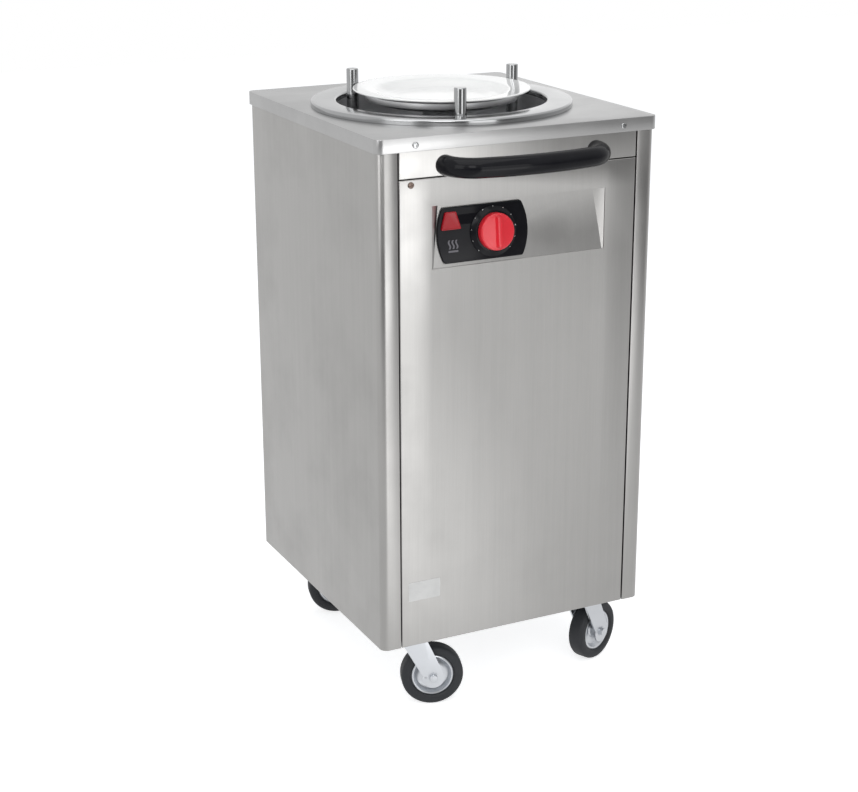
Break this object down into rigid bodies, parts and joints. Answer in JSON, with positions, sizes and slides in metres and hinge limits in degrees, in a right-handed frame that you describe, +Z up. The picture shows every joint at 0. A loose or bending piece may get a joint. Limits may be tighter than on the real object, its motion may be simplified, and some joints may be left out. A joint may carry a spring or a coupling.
{
  "type": "plate dispenser cart",
  "caption": "Heated plate dispenser cart: a sheet-steel cabinet on swivel castors with a sprung plate well in its lid, a bow handle and a sloped thermostat recess.",
  "frame": {"origin": "on the floor, under the centre of the whole cart's bounding box with the castors as they stand in the picture", "axes": "+Z up, -Y out of the front that carries the handle and controls, +X to the right as seen from the front"},
  "size_m": [0.4764, 0.5852, 0.973],
  "materials": {
    "brushed_sheet": "brushed stainless sheet, fine vertical grain",
    "polished_steel": "polished stainless",
    "galvanised_sheet": "dull galvanised sheet",
    "spring_steel": "bright spring wire",
    "porcelain": "white glazed porcelain",
    "black_plastic": "glossy black moulding",
    "red_plastic": "glossy red moulding",
    "red_lens": "clear red lens",
    "rubber_tyre": "dark grey rubber",
    "element_sheath": "heat-darkened steel tube",
    "zinc_plate": "zinc-plated steel"
  },
  "bodies": {
    "cabinet": {"back_panel": "brushed_sheet", "base_pan": "galvanised_sheet", "bow_handle": "black_plastic", "cable_gland": "black_plastic", "carrier_spring_back": "spring_steel", "carrier_spring_left": "spring_steel", "carrier_spring_right": "spring_steel", "castor_mount_back_left": "zinc_plate", "castor_mount_back_right": "zinc_plate", "castor_mount_front_left": "zinc_plate", "castor_mount_front_right": "zinc_plate", "control_plate": "black_plastic", "control_recess": "brushed_sheet", "dispenser_bezel": "polished_steel", "dispenser_tube": "galvanised_sheet", "element_terminal_block": "porcelain", "front_panel": "brushed_sheet", "guide_post_front": "polished_steel", "guide_post_left": "polished_steel", "guide_post_right": "polished_steel", "handle_bolt_left": "zinc_plate", "handle_bolt_right": "zinc_plate", "heating_element": "element_sheath", "left_side_panel": "brushed_sheet", "lid_panel": "brushed_sheet", "pilot_lamp_holder": "black_plastic", "pilot_lamp_lens": "red_lens", "right_side_panel": "brushed_sheet", "spring_hanger_ring": "galvanised_sheet", "thermostat_body": "galvanised_sheet", "upper_front_panel": "brushed_sheet", "well_base_ring": "galvanised_sheet"},
    "carrier": {"carrier_dish": "polished_steel", "carrier_spider": "galvanised_sheet", "dinner_plate": "porcelain"},
    "knob": {"thermostat_shaft": "zinc_plate", "knob_skirt": "black_plastic", "knob_grip": "red_plastic"},
    "swivel_front_left": {"castor_fork_front_left": "zinc_plate", "castor_axle_front_left": "zinc_plate"},
    "wheel_front_left": {"castor_hub_front_left": "zinc_plate", "castor_tyre_front_left": "rubber_tyre"},
    "swivel_front_right": {"castor_fork_front_right": "zinc_plate", "castor_axle_front_right": "zinc_plate"},
    "wheel_front_right": {"castor_hub_front_right": "zinc_plate", "castor_tyre_front_right": "rubber_tyre"},
    "swivel_back_left": {"castor_fork_back_left": "zinc_plate", "castor_axle_back_left": "zinc_plate"},
    "wheel_back_left": {"castor_hub_back_left": "zinc_plate", "castor_tyre_back_left": "rubber_tyre"},
    "swivel_back_right": {"castor_fork_back_right": "zinc_plate", "castor_axle_back_right": "zinc_plate"},
    "wheel_back_right": {"castor_hub_back_right": "zinc_plate", "castor_tyre_back_right": "rubber_tyre"}
  },
  "joints": [
    {"name": "carrier_slide", "type": "slide", "parent": "cabinet", "child": "carrier", "axis": [0, 0, -1], "range_m": [0, 0.44], "stiffness_N_per_m": 800, "springref_m": -0.05, "deforming": ["carrier_spring_back", "carrier_spring_left", "carrier_spring_right"]},
    {"name": "thermostat_turn", "type": "hinge", "parent": "cabinet", "child": "knob", "pos_m": [-0.04772, -0.21464, 0.774], "axis": [0, -0.9944, 0.1059], "range_deg": [-270, 0]},
    {"name": "swivel_front_left", "type": "hinge", "parent": "cabinet", "child": "swivel_front_left", "pos_m": [-0.16122, -0.16274, 0.12], "axis": [0, 0, 1], "continuous": true},
    {"name": "roll_front_left", "type": "hinge", "parent": "swivel_front_left", "child": "wheel_front_left", "pos_m": [-0.12793, -0.17355, 0.05], "axis": [0.309, 0.9511, 0], "continuous": true},
    {"name": "swivel_front_right", "type": "hinge", "parent": "cabinet", "child": "swivel_front_right", "pos_m": [0.15378, -0.16274, 0.12], "axis": [0, 0, 1], "continuous": true},
    {"name": "roll_front_right", "type": "hinge", "parent": "swivel_front_right", "child": "wheel_front_right", "pos_m": [0.18576, -0.1485, 0.05], "axis": [-0.4067, 0.9135, 0], "continuous": true},
    {"name": "swivel_back_left", "type": "hinge", "parent": "cabinet", "child": "swivel_back_left", "pos_m": [-0.16122, 0.21926, 0.12], "axis": [0, 0, 1], "continuous": true},
    {"name": "roll_back_left", "type": "hinge", "parent": "swivel_back_left", "child": "wheel_back_left", "pos_m": [-0.12726, 0.2108, 0.05], "axis": [0.2419, 0.9703, 0], "continuous": true},
    {"name": "swivel_back_right", "type": "hinge", "parent": "cabinet", "child": "swivel_back_right", "pos_m": [0.15378, 0.21926, 0.12], "axis": [0, 0, 1], "continuous": true},
    {"name": "roll_back_right", "type": "hinge", "parent": "swivel_back_right", "child": "wheel_back_right", "pos_m": [0.18759, 0.22832, 0.05], "axis": [-0.2588, 0.9659, 0], "continuous": true}
  ]
}
